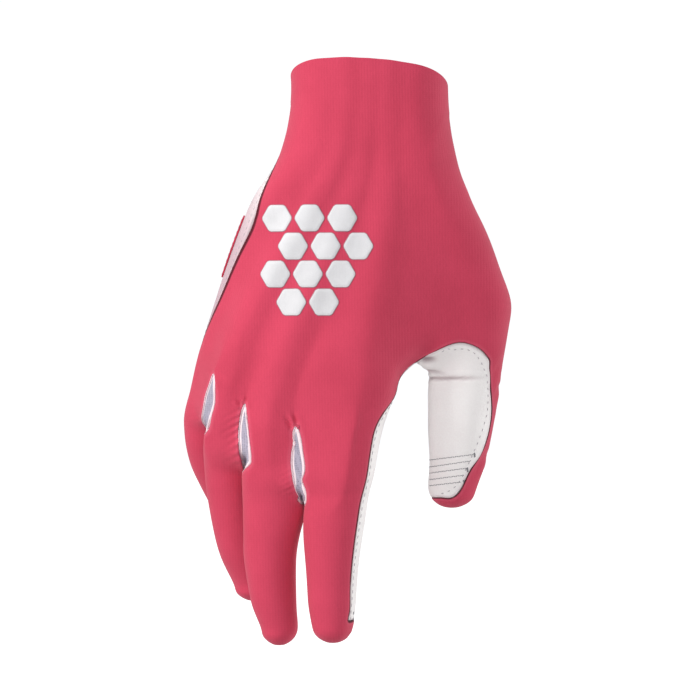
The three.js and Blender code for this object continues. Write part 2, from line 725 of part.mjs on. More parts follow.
// A wall of even thickness over some of the skin's faces, drawn in from its edges by its inset, so that two panels
// keep a small gap at a seam.
function wallGeometry(list, outer, thickness, inset) {
  const next = new Map();
  const pull = new Map();
  for (const { corners } of list) {
    const middle = corners.reduce((sum, i) => sum.add(points[i]), new THREE.Vector3()).divideScalar(corners.length);
    corners.forEach((a, i) => {
      const b = corners[(i + 1) % corners.length];
      if (next.get(`${b} ${a}`)) next.delete(`${b} ${a}`);
      else next.set(`${a} ${b}`, [a, b]);
      pull.set(a, (pull.get(a) ?? new THREE.Vector3()).add(middle.clone().sub(points[a]).normalize()));
    });
  }
  const edge = new Set([...next.values()].flat());
  const shifted = (i, height) => {
    const p = points[i].clone();
    if (edge.has(i)) {
      const inward = pull.get(i).clone();
      inward.addScaledVector(normals[i], -inward.dot(normals[i]));
      if (inward.length() > 1e-6) p.addScaledVector(inward.normalize(), inset);
    }
    return p.addScaledVector(normals[i], height);
  };
  const positions = [];
  const emit = (...corners) => corners.forEach((p) => positions.push(p.x, p.y, p.z));
  const polygon = (corners) => {
    const [a, b, c, d] = corners;
    if (!d) emit(a, b, c);
    else if (a.distanceTo(c) < b.distanceTo(d)) {
      emit(a, b, c);
      emit(a, c, d);
    } else {
      emit(a, b, d);
      emit(b, c, d);
    }
  };
  for (const { corners } of list) {
    polygon(corners.map((i) => shifted(i, outer)));
    polygon(corners.map((i) => shifted(i, outer - thickness)).reverse());
  }
  for (const [a, b] of next.values())
    polygon([shifted(b, outer), shifted(a, outer), shifted(a, outer - thickness), shifted(b, outer - thickness)]);
  const geometry = new THREE.BufferGeometry();
  geometry.setAttribute("position", new THREE.Float32BufferAttribute(positions, 3));
  geometry.computeVertexNormals();
  return geometry;
}

const red = new THREE.MeshStandardMaterial({ color: 0xd94a66, roughness: 0.85, metalness: 0 });
const white = new THREE.MeshStandardMaterial({ color: 0xe8e4e4, roughness: 0.6, metalness: 0 });
const mesh = new THREE.MeshStandardMaterial({ color: 0xc9c9d6, roughness: 0.8, metalness: 0 });
const rubber = new THREE.MeshStandardMaterial({ color: 0xececec, roughness: 0.5, metalness: 0 });

const glove = new THREE.Group();

function addPiece(name, geometry, material) {
  const piece = new THREE.Mesh(geometry, material);
  piece.name = name;
  glove.add(piece);
}

const PANELS = [
  { name: "back_panel", outer: KNIT_PROUD, wall: KNIT_WALL, inset: 0.15, material: red },
  { name: "wrist_panel", outer: 0, wall: KNIT_WALL, inset: 0.15, material: red },
  { name: "palm_panel", outer: 0, wall: LEATHER_WALL, inset: 0.15, material: white },
  { name: "thumb_panel", outer: 0, wall: LEATHER_WALL, inset: 0.4, material: white },
  { name: "gusset_little_ring", outer: -0.25, wall: MESH_WALL, inset: 0.65, material: mesh },
  { name: "gusset_ring_middle", outer: -0.25, wall: MESH_WALL, inset: 0.65, material: mesh },
  { name: "gusset_middle_index", outer: -0.25, wall: MESH_WALL, inset: 0.65, material: mesh },
];
for (const { name, outer, wall, inset, material } of PANELS) {
  const list = faces.filter((face) => face.panel === name);
  addPiece(name, wallGeometry(list, outer, wall, inset), material);
}

// The red patch sewn on the outer heel of the palm.
const patchFaces = [];
for (let row = PATCH.firstRow; row < PATCH.lastRow; row += 1) {
  const edges = [leftEdges[0], leftEdges[1]];
  patchFaces.push({ corners: [edges[0][row + 1], edges[1][row + 1], edges[1][row], edges[0][row]] });
  for (let column = 0; column < PATCH.columns; column += 1) {
    const [top, low] = [grid[1][row], grid[1][row + 1]];
    patchFaces.push({ corners: [top[column], top[column + 1], low[column + 1], low[column]] });
  }
}
addPiece("heel_patch", wallGeometry(patchFaces, PATCH_GAP + PATCH_WALL, PATCH_WALL, 0.8), red);

export default glove;
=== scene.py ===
import math

import bmesh
import bpy
from mathutils import Matrix, Vector, noise
from mathutils.bvhtree import BVHTree
from mathutils.kdtree import KDTree


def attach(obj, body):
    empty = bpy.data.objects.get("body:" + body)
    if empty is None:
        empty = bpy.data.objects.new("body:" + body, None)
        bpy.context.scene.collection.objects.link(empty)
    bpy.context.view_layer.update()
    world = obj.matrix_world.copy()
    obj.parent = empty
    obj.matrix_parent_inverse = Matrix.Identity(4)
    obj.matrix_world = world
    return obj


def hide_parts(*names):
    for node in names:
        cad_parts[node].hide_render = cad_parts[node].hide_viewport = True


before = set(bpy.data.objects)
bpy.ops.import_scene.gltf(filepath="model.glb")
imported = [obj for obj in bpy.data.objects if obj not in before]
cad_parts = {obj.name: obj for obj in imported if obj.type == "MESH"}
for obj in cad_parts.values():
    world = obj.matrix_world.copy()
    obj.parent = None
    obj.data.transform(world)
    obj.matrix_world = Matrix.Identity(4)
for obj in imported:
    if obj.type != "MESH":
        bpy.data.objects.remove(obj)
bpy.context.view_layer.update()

MM = 0.001

# The picture: one pixel's size, and the pixel where the frame's origin is seen.
PIXEL = 0.42 * MM
ORIGIN_PIXEL = (368.5, 82)
# The width of what it shows and the camera's distance, in millimetres.
PICTURE_WIDE = 294
CAMERA_OFF = 2000
CAMERA = Vector((-7.77, -CAMERA_OFF, -112.56)) * MM

KNIT_WALL = 1.4 * MM
LEATHER_WALL = 1.2 * MM
MESH_WALL = 0.9 * MM
PATCH_WALL = 1.0 * MM
# A sewn wall thins towards its seams, to this share of its thickness and over this width.
SEAM_SHARE = 0.35
TAPER = 3.0 * MM

# The sleeve's rim falls towards the thumb and towards the palm by these shares.
RIM_FALL = (0.07, 0.42)
HEM_DEPTH = 12 * MM
HEM_RISE = 0.22 * MM
HEM_EDGE = 0.8 * MM

# Points this close are one point.
MERGE = 0.002 * MM
# A rim's edge is as long as the wall is thick within this slack, and its slopes to its two ends' faces,
# multiplied, are under this.
RIM_SLACK = 0.004 * MM
RIM_ACROSS = -0.06
# Pairs of triangles are joined up to these angles.
JOIN_FLAT = 70
JOIN_SQUARE = 75
# No point inside a sheet stays nearer to a free edge than this.
EDGE_CROWD = 2.4 * MM
# Subdivision draws a sheet in. The panel is pushed out again so many times, by this share of the loss.
ROUNDS = 3
PUSH = 0.8
# Edges are sampled this closely, and stay sharp above this angle.
EDGE_STEP = 0.4 * MM
CREASE_ANGLE = 55
# A seam flap steps down within this share of its reach, looks so far for knit over it, and clears it.
FLAP_STEP = 0.35
TUCK_REACH = 3 * MM
FLAP_CLEAR = 0.08 * MM


# Small sums


def step(low, high, x):
    """0 below low, 1 above high, and a smooth rise between."""
    t = min(1.0, max(0.0, (x - low) / (high - low)))
    return t * t * (3 - 2 * t)


def below_rim(p):
    """How far a point lies below the sleeve's slanted rim."""
    return -(p.z + RIM_FALL[0] * p.x + RIM_FALL[1] * p.y)


def hem_rise(p):
    """How far the turned hem stands out at a point."""
    return HEM_RISE * (1 - step(HEM_DEPTH - HEM_EDGE, HEM_DEPTH + HEM_EDGE, below_rim(p)))


def toward(px, py):
    """The straight line from the camera through a place in the picture."""
    aim = Vector(((px - ORIGIN_PIXEL[0]) * PIXEL, 0, -(py - ORIGIN_PIXEL[1]) * PIXEL))
    return (aim - CAMERA).normalized()


# Cloth from the panels


def outer_sheet(node, wall, facing=None):
    """The outer face of a panel, without its rim and its inner face.

    The rim's faces hang on the edges that are as long as the wall is thick and run from face to face.
    """
    cloth = bmesh.new()
    cloth.from_mesh(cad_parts[node].data)
    bmesh.ops.remove_doubles(cloth, verts=cloth.verts, dist=MERGE)
    cloth.normal_update()
    rim = set()
    for edge in cloth.edges:
        a, b = edge.verts
        across = b.co - a.co
        if abs(across.length - wall) > RIM_SLACK:
            continue
        across.normalize()
        if across.dot(a.normal) * across.dot(b.normal) < RIM_ACROSS:
            rim.update(edge.link_faces)
    bmesh.ops.delete(cloth, geom=[f for f in cloth.faces if f in rim], context="FACES_ONLY")
    sheets, seen = [], set()
    for face in cloth.faces:
        if face in seen:
            continue
        seen.add(face)
        sheet, waiting = [], [face]
        while waiting:
            one = waiting.pop()
            sheet.append(one)
            for edge in one.edges:
                for other in edge.link_faces:
                    if other not in seen:
                        seen.add(other)
                        waiting.append(other)
        sheets.append(sheet)
    if len(sheets) != 2 or len(sheets[0]) != len(sheets[1]):
        raise ValueError(f"{node} does not part into an outer and an inner face")
    if facing:
        worth = [sum((f.normal.dot(facing) * f.calc_area() for f in s), 0.0) for s in sheets]
    else:
        worth = [sum(f.calc_area() for f in s) for s in sheets]
    inner = sheets[worth.index(min(worth))]
    bmesh.ops.delete(cloth, geom=inner, context="FACES")
    loose = [v for v in cloth.verts if not v.link_faces]
    bmesh.ops.delete(cloth, geom=loose, context="VERTS")
    bmesh.ops.join_triangles(
        cloth,
        faces=cloth.faces,
        angle_face_threshold=math.radians(JOIN_FLAT),
        angle_shape_threshold=math.radians(JOIN_SQUARE),
    )
    return cloth


def mesh_of(cloth, name):
    """A new mesh with a sheet's points and faces."""
    mesh = bpy.data.meshes.new(name)
    cloth.to_mesh(mesh)
    return mesh


def with_modifier(mesh, kind, settings, group=None):
    """The mesh that one modifier makes of a mesh."""
    holder = bpy.data.objects.new("work", mesh)
    bpy.context.scene.collection.objects.link(holder)
    if group:
        holder.vertex_groups.new(name=group)
    worker = holder.modifiers.new("work", kind)
    for key, value in settings.items():
        setattr(worker, key, value)
    graph = bpy.context.evaluated_depsgraph_get()
    made = bpy.data.meshes.new_from_object(holder.evaluated_get(graph))
    bpy.data.objects.remove(holder)
    return made


def clear_of_edges(cloth):
    """Moves the points that crowd a free edge a little into the sheet."""
    for edge in cloth.edges:
        if not edge.is_boundary or len(edge.link_faces[0].verts) != 3:
            continue
        a, b = edge.verts
        third = next(v for v in edge.link_faces[0].verts if v not in (a, b))
        if third.is_boundary:
            continue
        along = b.co - a.co
        foot = a.co + along * ((third.co - a.co).dot(along) / along.length_squared)
        high = third.co - foot
        if high.length < EDGE_CROWD:
            third.co = foot + high.normalized() * EDGE_CROWD


def rounded(cloth, levels, name):
    """A sheet rounded by subdivision that still runs through the panel's own points."""
    clear_of_edges(cloth)
    aim = [v.co.copy() for v in cloth.verts]
    settings = {
        "levels": levels,
        "render_levels": levels,
        "boundary_smooth": "PRESERVE_CORNERS",
        "uv_smooth": "NONE",
    }
    for _ in range(ROUNDS):
        smooth = with_modifier(mesh_of(cloth, name), "SUBSURF", settings)
        for vertex, point in zip(cloth.verts, aim):
            vertex.co += (point - smooth.vertices[vertex.index].co) * PUSH
    smooth = with_modifier(mesh_of(cloth, name), "SUBSURF", settings)
    cloth.free()
    fine = bmesh.new()
    fine.from_mesh(smooth)
    return fine


def any_edge(edge):
    """Picks every edge."""
    return True


def is_seam(edge):
    """Whether a free edge is sewn to a neighbour and isn't the sleeve's rim."""
    return any(below_rim(v.co) >= 1.0 * MM for v in edge.verts)


def edge_tree(cloth, wanted=any_edge):
    """A search tree over the free edges of a sheet."""
    places = []
    for edge in cloth.edges:
        if edge.is_boundary and wanted(edge):
            a, b = (v.co for v in edge.verts)
            count = max(1, math.ceil((b - a).length / EDGE_STEP))
            places.extend(a.lerp(b, i / count) for i in range(count + 1))
    tree = KDTree(len(places))
    for i, place in enumerate(places):
        tree.insert(place, i)
    tree.balance()
    return tree


def free_corners(cloth, wanted=any_edge):
    """The free vertices of the wanted edges, each with its way out of the sheet."""
    outward = {}
    for edge in cloth.edges:
        if edge.is_boundary and wanted(edge):
            a, b = edge.verts
            face = edge.link_faces[0]
            out = (b.co - a.co).cross(face.normal).normalized()
            if out.dot(face.calc_center_median() - a.co) > 0:
                out.negate()
            for vertex in edge.verts:
                outward[vertex] = outward.get(vertex, Vector()) + out
    return {v: out.normalized() for v, out in outward.items()}


def tucked(vertex, knit_skin):
    """Lays a point of a seam flap close under the knit's wall, where there is knit over it."""
    near, facing, _, off = knit_skin.find_nearest(vertex.co)
    if off > TUCK_REACH:
        return
    wall = KNIT_WALL * (SEAM_SHARE + (1 - SEAM_SHARE) * step(0, TAPER, KNIT_EDGES.find(near)[2]))
    high = (vertex.co - near).dot(facing) + wall + FLAP_CLEAR
    if high > 0:
        vertex.co -= facing * high


def seam_flap(cloth, wanted, reach, down, knit_skin=None):
    """Runs the free edges on, under the neighbour that is sewn over them: a step down, then level."""
    seam = {e for e in cloth.edges if e.is_boundary and wanted(e)}
    for out_by, down_by in ((reach * FLAP_STEP, down), (reach * (1 - FLAP_STEP), 0.0)):
        edges = [e for e in cloth.edges if e.is_boundary and e in seam]
        cloth.normal_update()
        ways = free_corners(cloth, lambda edge: edge in seam)
        olds = list(ways)
        moves = [ways[v] * out_by - v.normal * down_by for v in olds]
        near = KDTree(len(olds))
        for i, vertex in enumerate(olds):
            near.insert(vertex.co, i)
        near.balance()
        grown = bmesh.ops.extrude_edge_only(cloth, edges=edges)["geom"]
        for vertex in grown:
            if isinstance(vertex, bmesh.types.BMVert):
                vertex.co += moves[near.find(vertex.co)[1]]
                if knit_skin:
                    tucked(vertex, knit_skin)
        seam = {e for e in grown if isinstance(e, bmesh.types.BMEdge)}
    cloth.normal_update()


def sewn(cloth, name, wall, finish, edge_wall=SEAM_SHARE, taper=TAPER):
    """Gives a sheet its thickness, thinned towards its seams, and makes it a piece."""
    cloth.normal_update()
    body = cloth.verts.layers.deform.verify()
    gap = cloth.verts.layers.float["edge_gap"]
    for vertex in cloth.verts:
        vertex[body][0] = step(0, taper, vertex[gap])
    settings = {
        "thickness": wall,
        "offset": -1,
        "use_even_offset": False,
        "vertex_group": "body",
        "thickness_vertex_group": edge_wall,
    }
    mesh = with_modifier(mesh_of(cloth, name), "SOLIDIFY", settings, "body")
    cloth.free()
    return piece(mesh, name, finish)


def piece(mesh, name, finish):
    """A finished mesh as a piece of the glove."""
    mesh.name = name
    mesh.materials.clear()
    mesh.materials.append(finish)
    for polygon in mesh.polygons:
        polygon.use_smooth = True
        polygon.material_index = 0
    mesh.set_sharp_from_angle(angle=math.radians(CREASE_ANGLE))
    made = bpy.data.objects.new(name, mesh)
    bpy.context.scene.collection.objects.link(made)
    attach(made, "root")
    return made


def mark_gap(cloth, tree, name="edge_gap"):
    """Writes how far each point is from the sheet's edge."""
    gap = cloth.verts.layers.float.new(name)
    for vertex in cloth.verts:
        vertex[gap] = tree.find(vertex.co)[2]


# Threads


def runs_of(cloth):
    """The free edges of a sheet as runs of vertices, one after the other."""
    free = [e for e in cloth.edges if e.is_boundary]
    waiting = set(free)
    runs = []
    for first in free:
        if first not in waiting:
            continue
        waiting.discard(first)
        run = list(first.verts)
        for ahead in (True, False):
            while True:
                tip = run[-1] if ahead else run[0]
                more = [e for e in tip.link_edges if e in waiting]
                if not more:
                    break
                waiting.discard(more[0])
                other = more[0].other_vert(tip)
                run.insert(len(run) if ahead else 0, other)
        runs.append(run)
    return runs


def paced(places, pitch):
    """Evenly spaced places along a line of places, each with the way on from there."""
    paces = []
    ahead = pitch / 2
    for a, b in zip(places, places[1:]):
        length = (b - a).length
        while ahead < length:
            paces.append((a.lerp(b, ahead / length), (b - a) / length))
            ahead += pitch
        ahead -= length
    return paces


def skin_of(one):
    """A search tree over the faces of a piece."""
    faces = bmesh.new()
    faces.from_mesh(one.data)
    tree = BVHTree.FromBMesh(faces)
    faces.free()
    return tree


def seen_on(skin, points):
    """The places on a skin that are seen at some places in the picture."""
    found = [skin.ray_cast(CAMERA, toward(px, py))[0] for px, py in points]
    return [place for place in found if place]


# A stitch's height and how far its middle stands off the skin, as shares of its width.
STITCH_HIGH = 0.35
STITCH_OFF = 0.10
# An overlocked thread: its radius, its three thicknesses and the length in which they come once, and how
# thin it is at its low end.
THREAD_RADIUS = 0.26 * MM
THREAD_BEADS = (1.15, 0.95, 0.72)
THREAD_BEAT = 1.15 * MM
THREAD_LOW = 0.6


class Stitches:
    """Short threads laid on a skin, all in one mesh."""

    def __init__(self, skin):
        self.skin = skin
        self.mesh = bmesh.new()

    def one(self, place, way, length, width):
        """One stitch, a long round bead on the skin."""
        near, facing, _, _ = self.skin.find_nearest(place)
        way = (way - facing * way.dot(facing)).normalized()
        turn = Matrix((way, facing.cross(way), facing)).transposed().to_4x4()
        turn.translation = near + facing * width * STITCH_OFF
        size = Matrix.Diagonal((length / 2, width / 2, width * STITCH_HIGH, 1))
        bmesh.ops.create_uvsphere(self.mesh, u_segments=8, v_segments=5, radius=1, matrix=turn @ size)

    def row(self, places, pitch, length, width, slant=0.0):
        """A row of stitches; a slant lays them across the row by turns."""
        for i, (place, way) in enumerate(paced(places, pitch)):
            if slant:
                facing = self.skin.find_nearest(place)[1]
                way = way + facing.cross(way) * (slant if i % 2 else -slant)
            self.one(place, way, length, width)

    def done(self, name, finish):
        """All the stitches as one piece."""
        made = piece(mesh_of(self.mesh, name), name, finish)
        self.mesh.free()


def thread_round(places, name, low, finish):
    """A closed thread along a loop of places, thicker and thinner by turns, and thin at its low end."""
    data = bpy.data.curves.new(name, "CURVE")
    data.dimensions = "3D"
    data.bevel_depth = THREAD_RADIUS
    data.bevel_resolution = 2
    points = [place for place, _ in paced(places + places[:1], THREAD_BEAT / len(THREAD_BEADS))]
    line = data.splines.new("POLY")
    line.points.add(len(points) - 1)
    line.use_cyclic_u = True
    for i, (point, place) in enumerate(zip(line.points, points)):
        point.co = (*place, 1)
        rise = step(low - 1 * MM, low + 7 * MM, place.z)
        point.radius = THREAD_BEADS[i % len(THREAD_BEADS)] * (THREAD_LOW + (1 - THREAD_LOW) * rise)
    holder = bpy.data.objects.new("work", data)
    bpy.context.scene.collection.objects.link(holder)
    graph = bpy.context.evaluated_depsgraph_get()
    mesh = bpy.data.meshes.new_from_object(holder.evaluated_get(graph))
    bpy.data.objects.remove(holder)
    made = piece(mesh, name, finish)


# Finishes


class Value:
    """A number in a shader that plain sums can be written with."""

    def __init__(self, finish, socket):
        self.finish = finish
        self.socket = socket

    def sum(self, operation, first, second=0.0):
        return self.finish.node("Math", {"operation": operation}, {0: first, 1: second})

    def __add__(self, other):
        return self.sum("ADD", self, other)

    def __radd__(self, other):
        return self.sum("ADD", other, self)

    def __sub__(self, other):
        return self.sum("SUBTRACT", self, other)

    def __rsub__(self, other):
        return self.sum("SUBTRACT", other, self)

    def __mul__(self, other):
        return self.sum("MULTIPLY", self, other)

    def sine(self):
        return self.sum("SINE", self)

    def size(self):
        return self.sum("ABSOLUTE", self)

    def rise(self, low, high):
        """0 below low, 1 above high, and a smooth rise between."""
        return self.finish.node(
            "MapRange",
            {"interpolation_type": "SMOOTHSTEP"},
            {"Value": self, "From Min": low, "From Max": high, "To Min": 0.0, "To Max": 1.0},
        )


class Finish:
    """A material and the nodes that it is made of."""

    def __init__(self, name):
        self.material = bpy.data.materials.new(name)
        self.material.use_nodes = True
        self.tree = self.material.node_tree
        self.tree.nodes.clear()
        self.place = self.node("TexCoord", out="Object")

    def node(self, kind, settings=None, sockets=None, out=0):
        """One node: its settings first, then a value or a link for each socket."""
        made = self.tree.nodes.new("ShaderNode" + kind)
        for key, value in (settings or {}).items():
            setattr(made, key, value)
        for key, value in (sockets or {}).items():
            if isinstance(value, Value):
                self.tree.links.new(value.socket, made.inputs[key])
            else:
                made.inputs[key].default_value = value
        return Value(self, made.outputs[out])

    def parts(self, vector):
        """The X, Y and Z of a vector."""
        split = self.node("SeparateXYZ", None, {0: vector})
        outputs = split.socket.node.outputs
        return [Value(self, outputs[i]) for i in range(3)]

    def noise(self, scale, detail=2.0, roughness=0.5):
        """Cloudy spots from 0 to 1."""
        sockets = {"Vector": self.place, "Scale": scale, "Detail": detail, "Roughness": roughness}
        return self.node("TexNoise", None, sockets, "Fac")

    def cells(self, scale, feature="F1", place=None, randomness=1.0):
        """Round cells, as the distance from each cell's middle or edge."""
        sockets = {"Vector": place or self.place, "Scale": scale, "Randomness": randomness}
        return self.node("TexVoronoi", {"feature": feature}, sockets, "Distance")

    def stretched(self, x, y, z):
        """The place on the piece, scaled along each axis."""
        return self.node("Mapping", None, {"Vector": self.place, "Scale": (x, y, z)})

    def facing(self):
        """The X, Y and Z of the way that the surface faces."""
        return self.parts(self.node("NewGeometry", None, None, "Normal"))

    def blend(self, share, first, second):
        """Between two colours by a share from 0 to 1."""
        return self.node(
            "Mix", {"data_type": "RGBA", "clamp_factor": True}, {0: share, 6: first, 7: second}, 2
        )

    def attribute(self, name):
        """A number that the sheet carries at each point."""
        return self.node("Attribute", {"attribute_name": name}, None, "Fac")

    def bumps(self, height, depth_mm, strength):
        """The way that the surface faces, with small bumps on it."""
        sockets = {"Height": height, "Distance": depth_mm * MM, "Strength": strength}
        return self.node("Bump", None, sockets, "Normal")

    def shade(self, base, roughness, normal, **fixed):
        """Closes the material with a shader. What is fixed is the same all over the surface."""
        sockets = {"Base Color": base, "Roughness": roughness, "Normal": normal}
        sockets.update({key.replace("_", " "): value for key, value in fixed.items()})
        shader = self.node("BsdfPrincipled", None, sockets)
        end = self.tree.nodes.new("ShaderNodeOutputMaterial")
        self.tree.links.new(shader.socket, end.inputs["Surface"])
        return self.material


def colour(red, green, blue):
    """A colour from its screen values, as a shader counts it."""
    def linear(v):
        v /= 255
        return v / 12.92 if v <= 0.04045 else ((v + 0.055) / 1.055) ** 2.4
    return (linear(red), linear(green), linear(blue), 1.0)


# The knit's ribs, loops and the painted shade lines at its seams, and a thread's plies, in millimetres.
RIB_PITCH = 1.2
RIB_LEAN = 0.02
LOOP_PITCH = 0.85
PLY_PITCH = 0.35
SEAM_SHADE_LINE = (0.4, 1.15)
SEAM_SHADE_LINE_THUMB = 0.45
SEAM_SHADE_LINE_OUTER = 0.9


def waves(pitch):
    """What a place in metres is multiplied by for a sine with a pitch in millimetres."""
    return 2 * math.pi / pitch / MM


def red_knit(name, light, dark):
    """Fine stretch knit, ribbed along the hand, with painted shade as a dark line at the seams, and
    rubbed edges.
    """
    knit = Finish(name)
    x, y, z = knit.parts(knit.place)
    nx, ny, _ = knit.facing()
    side = (nx.size() - ny.size()).rise(-0.12, 0.12)
    drift = (knit.noise(60, 1.0) - 0.5) * 0.5
    rib_front = ((x + z * RIB_LEAN) * waves(RIB_PITCH) + drift).sine()
    rib_side = (y * waves(RIB_PITCH) + drift).sine()
    rib = rib_front * (1 - side) + rib_side * side
    loops = (z * waves(LOOP_PITCH) + rib * 0.8).sine()
    height = rib * 0.4 + loops * 0.18 + knit.noise(2600) * 0.5
    patchy = knit.noise(38, 3.0, 0.55)
    fine = knit.noise(900, 2.0, 0.6)
    share = (rib * 0.045 + loops * 0.03 + patchy * 0.75 + fine * 0.25 - 0.02).rise(0.05, 0.95)
    edge = knit.attribute("edge_gap")
    base = knit.blend(share, dark, light)
    rubbed = knit.blend((1 - edge.rise(0.3 * MM, 2.2 * MM)) * 0.35, base, colour(226, 104, 128))
    # The dark red line along the seams is painted shade of the seam's valley. It is narrower on the thumb
    # and wider on the hand's outer edge.
    thumb = x.rise(22 * MM, 26 * MM)
    outer = 1 - x.rise(-34 * MM, -22 * MM)
    seam = knit.attribute("seam_gap") + (thumb * SEAM_SHADE_LINE_THUMB - outer * SEAM_SHADE_LINE_OUTER) * MM
    line = 1 - seam.rise(SEAM_SHADE_LINE[0] * MM, SEAM_SHADE_LINE[1] * MM)
    final_colour = knit.blend(line, rubbed, colour(84, 14, 30))
    return knit.shade(
        final_colour,
        0.78 + patchy * 0.12,
        knit.bumps(height, 0.10, 0.34),
        Sheen_Weight=0.28,
        Sheen_Roughness=0.45,
        Sheen_Tint=colour(255, 190, 200),
        Specular_IOR_Level=0.25,
    )


def white_leather(name):
    """Thin synthetic leather with a fine grain, with painted pink shade on the hand's outer edge, and
    painted shade along its edges and in the thumb's creases.
    """
    hide = Finish(name)
    grain = hide.cells(1500)
    pores = hide.cells(620, "DISTANCE_TO_EDGE")
    soft = hide.noise(45, 3.0, 0.55)
    fine = hide.noise(1400, 3.0, 0.6)
    share = (soft * 0.6 + fine * 0.25 + grain * 0.25).rise(0.25, 0.9)
    base = hide.blend(share, colour(246, 240, 239), colour(253, 250, 248))
    x, _, _ = hide.parts(hide.place)
    _, ny, _ = hide.facing()
    # Painted shade, pink like light thrown back from the knit, on the hand's outer edge where the leather
    # doesn't face the palm's way.
    outer = (1 - x.rise(-58 * MM, -34 * MM)) * (1 - ny.rise(0.30, 0.85))
    pink_shade_painted = hide.blend(outer, base, colour(200, 170, 178))
    gap = hide.attribute("edge_gap")
    # Painted shade along the leather's edges, where it meets the seams.
    seam_shaded = hide.blend((1 - gap.rise(0.1 * MM, 1.3 * MM)) * 0.5, pink_shade_painted, colour(206, 184, 188))
    # Painted shade in the thumb's creases, darker where a crease is deeper.
    final_colour = hide.blend(hide.attribute("crease") * 0.8, seam_shaded, colour(128, 86, 98))
    height = pores.rise(0.0, 0.22) * 0.7 + grain * 0.4 + fine * 0.35
    return hide.shade(
        final_colour,
        0.46 + soft * 0.18,
        hide.bumps(height, 0.07, 0.6),
        Sheen_Weight=0.08,
        Specular_IOR_Level=0.4,
    )


def white_mesh(name):
    """Open knitted mesh with a pale turned edge."""
    net = Finish(name)
    around = net.stretched(1.0, 0.8, 1.0)
    holes = net.cells(1150, "F1", around, 0.25)
    threads = net.noise(2400, 2.0, 0.6)
    soft = net.noise(160)
    open_share = 1 - holes.rise(0.22, 0.48)
    share = (soft * 0.5 + threads * 0.5).rise(0.2, 0.8)
    base = net.blend(share, colour(156, 150, 168), colour(184, 177, 193))
    holed = net.blend(open_share * 0.6, base, colour(112, 108, 126))
    border = 1 - net.attribute("edge_gap").rise(0.55 * MM, 0.95 * MM)
    final_colour = net.blend(border, holed, colour(244, 226, 230))
    height = holes.rise(0.15, 0.5) * (1 - border) + threads * 0.3
    return net.shade(
        final_colour,
        0.72 + threads * 0.1,
        net.bumps(height, 0.12, 0.8),
        Sheen_Weight=0.1,
        Specular_IOR_Level=0.3,
    )


def red_rubber(name):
    """Moulded patch with a pebbled face."""
    rubber = Finish(name)
    pebbles = rubber.cells(900)
    soft = rubber.noise(120)
    fine = rubber.noise(2500)
    share = (soft * 0.7 + fine * 0.3).rise(0.2, 0.8)
    base = rubber.blend(share, colour(176, 34, 62), colour(206, 56, 84))
    height = (1 - pebbles) * 0.7 + fine * 0.2
    bumps = rubber.bumps(height, 0.15, 0.7)
    return rubber.shade(base, 0.5 + soft * 0.15, bumps, Specular_IOR_Level=0.4)


def white_print(name):
    """Raised print, matt and slightly uneven."""
    ink = Finish(name)
    soft = ink.noise(140)
    fine = ink.noise(2200, 3.0, 0.6)
    x, _, z = ink.parts(ink.place)
    rib = ((x + z * RIB_LEAN) * waves(RIB_PITCH)).sine()
    share = (soft * 0.6 + fine * 0.4).rise(0.2, 0.8)
    base = ink.blend(share, colour(206, 205, 207), colour(219, 218, 220))
    edge = ink.attribute("edge_gap").rise(0.1 * MM, 0.45 * MM)
    final_colour = ink.blend(1 - edge, base, colour(158, 108, 120))
    height = rib * 0.25 + fine * 0.5
    bumps = ink.bumps(height, 0.05, 0.5)
    return ink.shade(final_colour, 0.42 + soft * 0.14, bumps, Specular_IOR_Level=0.45)


def thread(name, light, dark):
    """Twisted sewing thread."""
    yarn = Finish(name)
    x, y, z = yarn.parts(yarn.place)
    ply = ((x + y * 0.7 + z) * waves(PLY_PITCH)).sine()
    fluff = yarn.noise(3000)
    base = yarn.blend((ply * 0.3 + fluff * 0.7 + 0.1).rise(0.1, 0.9), dark, light)
    return yarn.shade(base, 0.6 + fluff * 0.15, yarn.bumps(ply, 0.04, 0.6), Sheen_Weight=0.2)


KNIT = red_knit("red_knit_finish", colour(211, 70, 97), colour(193, 58, 83))
LEATHER = white_leather("white_leather_finish")
NET = white_mesh("white_mesh_finish")
RUBBER = red_rubber("red_patch_finish")
PRINT = white_print("white_print_finish")
SEAM_THREAD = thread("seam_thread_finish", colour(248, 226, 232), colour(226, 186, 198))
GREY_THREAD = thread("grey_thread_finish", colour(172, 168, 170), colour(128, 125, 130))
DARK_THREAD = thread("dark_thread_finish", colour(128, 130, 136), colour(84, 86, 94))
PALE_THREAD = thread("pale_thread_finish", colour(208, 200, 203), colour(170, 163, 168))


# The knit of the back

# Pulls draw a sheet along the hand. Each has its place, its way and its reach, as (x, z), (x, z) and a
# number, in millimetres. These draw the knit's edge over the mesh leaf of the index finger.
PULLS = (
    ((-30.8, -173.4), (2.0, 0.4), 3.8),
    ((-27.4, -166.9), (-1.3, 0.0), 2.4),
    ((-30.2, -142.6), (0.0, -1.1), 3.2),
    ((-33.0, -151.0), (0.9, 0.0), 3.5),
)
# These draw knit and leather together along the thumb's seam.
THUMB_PULLS = (
    ((49.8, -119.5), (1.6, 0.2), 7.0),
    ((50.4, -114.4), (-0.6, -0.3), 2.5),
    ((50.4, -124.5), (1.1, 0.0), 4.5),
    ((45.6, -157.5), (1.5, 0.0), 5.0),
)
# This one draws knit and palm leather together along the hand's outer edge.
OUTER_PULLS = (((-49.4, -60.5), (2.4, 0.0), 9.0),)
# This one draws the leather's end far up the tip of the index finger.
INDEX_PULLS = (((-6.0, -231.0), (0.0, 6.0), 14.0),)

# A pull works fully where the sheet faces the front up to the first of these, as the normal's Y, and not
# at all from the second on.
ON_FRONT = (-0.25, 0.2)
ROUND_TO_SIDES = (0.2, 0.75)

